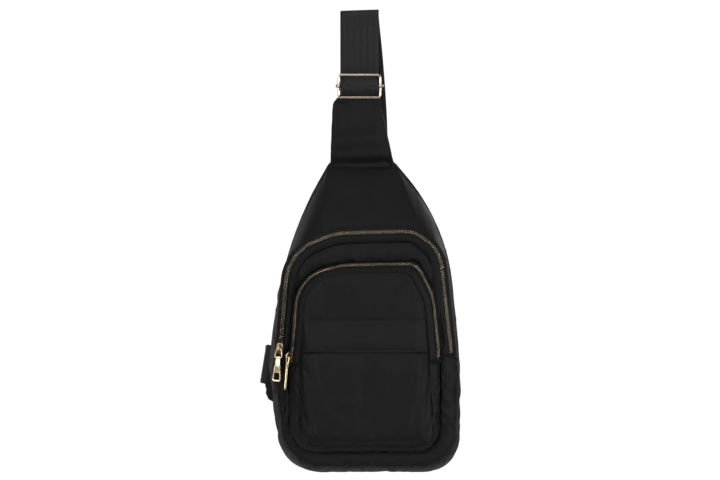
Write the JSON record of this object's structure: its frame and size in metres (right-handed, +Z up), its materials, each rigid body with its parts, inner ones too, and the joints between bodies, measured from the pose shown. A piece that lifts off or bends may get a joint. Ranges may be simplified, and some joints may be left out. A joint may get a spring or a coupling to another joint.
{
  "type": "sling bag",
  "caption": "Black nylon sling bag with an arched main compartment, a zipped front pocket, an open slip pocket and one webbing shoulder strap with a metal adjuster.",
  "frame": {"origin": "centre of the strap's fold at the top, on the axis of the hook or rail that carries the bag", "axes": "+Z up along the hanging bag, -Y out of its front, +X to the right seen from the front"},
  "size_m": [0.2013, 0.111, 0.461],
  "materials": {
    "nylon": "fine woven nylon with a soft sheen",
    "back_padding": "padded air mesh, matt",
    "lining": "thin plain woven lining",
    "webbing": "ribbed nylon webbing, satin",
    "zip_tape": "herringbone knitted tape",
    "zip_metal": "antique brass teeth",
    "pull_metal": "polished pale gold",
    "adjuster_metal": "polished pale rose gold"
  },
  "bodies": {
    "bag": {"adjuster_bar": "adjuster_metal", "anchor_loop": "webbing", "back_panel": "back_padding", "front_yoke": "nylon", "lower_gusset": "nylon", "main_front_panel": "nylon", "main_lining": "lining", "main_zip_inner_tape": "zip_tape", "main_zip_inner_teeth": "zip_metal", "main_zip_outer_tape": "zip_tape", "main_zip_outer_teeth": "zip_metal", "main_zip_stops": "zip_metal", "pocket_front_panel": "nylon", "pocket_gusset": "nylon", "pocket_lining": "lining", "pocket_zip_inner_tape": "zip_tape", "pocket_zip_inner_teeth": "zip_metal", "pocket_zip_outer_tape": "zip_tape", "pocket_zip_outer_teeth": "zip_metal", "pocket_zip_stops": "zip_metal", "shoulder_tab": "nylon", "side_wing": "nylon", "slip_pocket_band": "nylon", "slip_pocket_panel": "nylon", "strap_webbing": "webbing"},
    "main_slider": {"main_zip_slider": "pull_metal"},
    "main_link": {"main_zip_link": "pull_metal"},
    "main_pull": {"main_zip_pull": "pull_metal"},
    "pocket_slider": {"pocket_zip_slider": "pull_metal"},
    "pocket_link": {"pocket_zip_link": "pull_metal"},
    "pocket_pull": {"pocket_zip_pull": "pull_metal"},
    "adjuster": {"adjuster_frame": "adjuster_metal"}
  },
  "joints": [
    {"name": "main_zip_slide", "type": "slide", "parent": "bag", "child": "main_slider", "axis": [0.0823, 0, 0.9966], "range_m": [0, 0.05]},
    {"name": "main_link_swing", "type": "hinge", "parent": "main_slider", "child": "main_link", "pos_m": [-0.07978, -0.02981, -0.33148], "axis": [-0.9617, 0.2623, 0.0794], "range_deg": [0, 110]},
    {"name": "main_pull_swing", "type": "hinge", "parent": "main_link", "child": "main_pull", "pos_m": [-0.08048, -0.02981, -0.33995], "axis": [-0.9617, 0.2623, 0.0794], "range_deg": [0, 60]},
    {"name": "pocket_zip_slide", "type": "slide", "parent": "bag", "child": "pocket_slider", "axis": [0.0845, 0, 0.9964], "range_m": [0, 0.04]},
    {"name": "pocket_link_swing", "type": "hinge", "parent": "pocket_slider", "child": "pocket_link", "pos_m": [-0.07086, -0.03213, -0.33924], "axis": [-0.6392, 0.7671, 0.0542], "range_deg": [0, 110]},
    {"name": "pocket_pull_swing", "type": "hinge", "parent": "pocket_link", "child": "pocket_pull", "pos_m": [-0.07157, -0.03213, -0.34771], "axis": [0.0016, 1, -0.0001], "range_deg": [0, 15]},
    {"name": "adjuster_rock", "type": "hinge", "parent": "bag", "child": "adjuster", "pos_m": [0, 0, -0.0696], "axis": [1, 0, 0], "range_deg": [-8, 8]}
  ]
}
